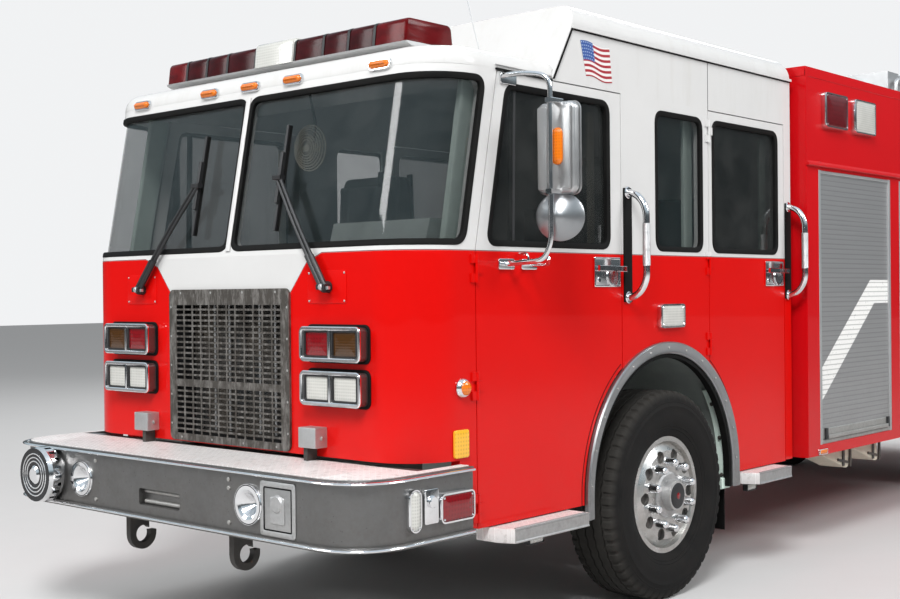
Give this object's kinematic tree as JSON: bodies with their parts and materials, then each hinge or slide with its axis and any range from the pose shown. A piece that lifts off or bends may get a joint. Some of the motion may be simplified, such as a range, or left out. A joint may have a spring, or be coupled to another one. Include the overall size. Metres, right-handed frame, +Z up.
{
  "type": "fire engine",
  "caption": "Custom-cab rescue fire engine with a tilting four-door cab, steered single front wheels, twin rear wheels and a body of roll-up door bays.",
  "frame": {"origin": "on the ground under the middle of the whole vehicle's bounding box", "axes": "+Z up, the front faces -Y and the driver's side, which the picture shows, is +X"},
  "size_m": [3.092, 9.413, 3.045],
  "materials": {
    "red_paint": "gloss",
    "white_paint": "gloss",
    "two_tone_paint": "gloss, white above the belt line",
    "black_paint": "satin",
    "grey_interior": "matte",
    "black_plastic": "matte",
    "lens": "gloss",
    "stainless": "brushed",
    "chrome": "polished",
    "aluminium": "satin",
    "polished_aluminium": "polished",
    "cast_iron": "rough",
    "rubber": "matte",
    "tyre": "matte",
    "seat_cloth": "woven",
    "glass": "clear"
  },
  "bodies": {
    "chassis": {"frame": "black_paint", "tow_hooks": "black_paint", "bumper": "stainless", "siren": "chrome", "air_horns": "chrome", "bumper_lamps": "lens", "front_axle": "black_paint", "springs": "black_paint", "engine": "cast_iron", "rear_axle": "black_paint", "fuel_tank": "aluminium", "mudflaps": "rubber", "body_shell": "red_paint", "body_sides": "red_paint", "body_roof": "aluminium", "body_trim": "aluminium", "body_lamps": "lens", "shutters": "aluminium", "rear_step": "aluminium", "roof_lockers": "aluminium", "wheel_chocks": "aluminium"},
    "cab": {"cab_front": "two_tone_paint", "cab_glass": "glass", "cab_walls": "two_tone_paint", "cab_roof": "white_paint", "cab_floor": "grey_interior", "grille": "stainless", "headlamps": "chrome", "cab_lamps": "lens", "light_bar": "lens", "wipers": "black_plastic", "arch_trims": "aluminium", "cab_steps": "aluminium", "grab_rails": "aluminium", "dash": "grey_interior", "steering_wheel": "black_plastic", "seats": "seat_cloth", "tilt_pivots": "black_paint"},
    "door_front_left": {"door_front_left": "two_tone_paint", "glass_front_left": "glass", "mirror_left": "chrome"},
    "door_front_right": {"door_front_right": "two_tone_paint", "glass_front_right": "glass", "mirror_right": "chrome"},
    "door_crew_left": {"door_crew_left": "two_tone_paint", "glass_crew_left": "glass"},
    "door_crew_right": {"door_crew_right": "two_tone_paint", "glass_crew_right": "glass"},
    "knuckle_left": {"knuckle_left": "black_paint"},
    "knuckle_right": {"knuckle_right": "black_paint"},
    "tie_rod": {"tie_rod": "black_paint"},
    "wheel_front_left": {"tyre_front_left": "tyre", "rim_front_left": "polished_aluminium"},
    "wheel_front_right": {"tyre_front_right": "tyre", "rim_front_right": "polished_aluminium"},
    "wheel_rear_left": {"tyre_rear_left": "tyre", "rim_rear_left": "polished_aluminium"},
    "wheel_rear_right": {"tyre_rear_right": "tyre", "rim_rear_right": "polished_aluminium"}
  },
  "joints": [
    {"name": "cab_tilt", "type": "hinge", "parent": "chassis", "child": "cab", "pos_m": [0, -4.252, 0.957], "axis": [1, 0, 0], "range_deg": [0, 45]},
    {"name": "door_front_left_swing", "type": "hinge", "parent": "cab", "child": "door_front_left", "pos_m": [1.2, -3.849, 1.5], "axis": [0, 0, -1], "range_deg": [0, 80]},
    {"name": "door_crew_left_swing", "type": "hinge", "parent": "cab", "child": "door_crew_left", "pos_m": [1.2, -1.915, 1.5], "axis": [0, 0, -1], "range_deg": [0, 80]},
    {"name": "door_front_right_swing", "type": "hinge", "parent": "cab", "child": "door_front_right", "pos_m": [-1.2, -3.849, 1.5], "axis": [0, 0, 1], "range_deg": [0, 80]},
    {"name": "door_crew_right_swing", "type": "hinge", "parent": "cab", "child": "door_crew_right", "pos_m": [-1.2, -1.915, 1.5], "axis": [0, 0, 1], "range_deg": [0, 80]},
    {"name": "steer_left", "type": "hinge", "parent": "chassis", "child": "knuckle_left", "pos_m": [0.86, -2.353, 0.534], "axis": [0, 0, 1], "range_deg": [-40, 40]},
    {"name": "steer_right", "type": "hinge", "parent": "chassis", "child": "knuckle_right", "pos_m": [-0.86, -2.353, 0.534], "axis": [0, 0, 1], "range_deg": [-40, 40]},
    {"name": "tie_rod_swing", "type": "hinge", "parent": "knuckle_left", "child": "tie_rod", "pos_m": [0.86, -2.123, 0.423], "axis": [0, 0, 1], "range_deg": [-40, 40]},
    {"name": "wheel_front_left_roll", "type": "hinge", "parent": "knuckle_left", "child": "wheel_front_left", "pos_m": [1.072, -2.353, 0.534], "axis": [1, 0, 0], "continuous": true},
    {"name": "wheel_rear_left_roll", "type": "hinge", "parent": "chassis", "child": "wheel_rear_left", "pos_m": [0.921, 2.727, 0.534], "axis": [1, 0, 0], "continuous": true},
    {"name": "wheel_front_right_roll", "type": "hinge", "parent": "knuckle_right", "child": "wheel_front_right", "pos_m": [-1.072, -2.353, 0.534], "axis": [1, 0, 0], "continuous": true},
    {"name": "wheel_rear_right_roll", "type": "hinge", "parent": "chassis", "child": "wheel_rear_right", "pos_m": [-0.921, 2.727, 0.534], "axis": [1, 0, 0], "continuous": true}
  ],
  "couplings": [
    {"joint": "steer_right", "follows": "steer_left", "ratio": 1},
    {"joint": "tie_rod_swing", "follows": "steer_left", "ratio": -1}
  ]
}
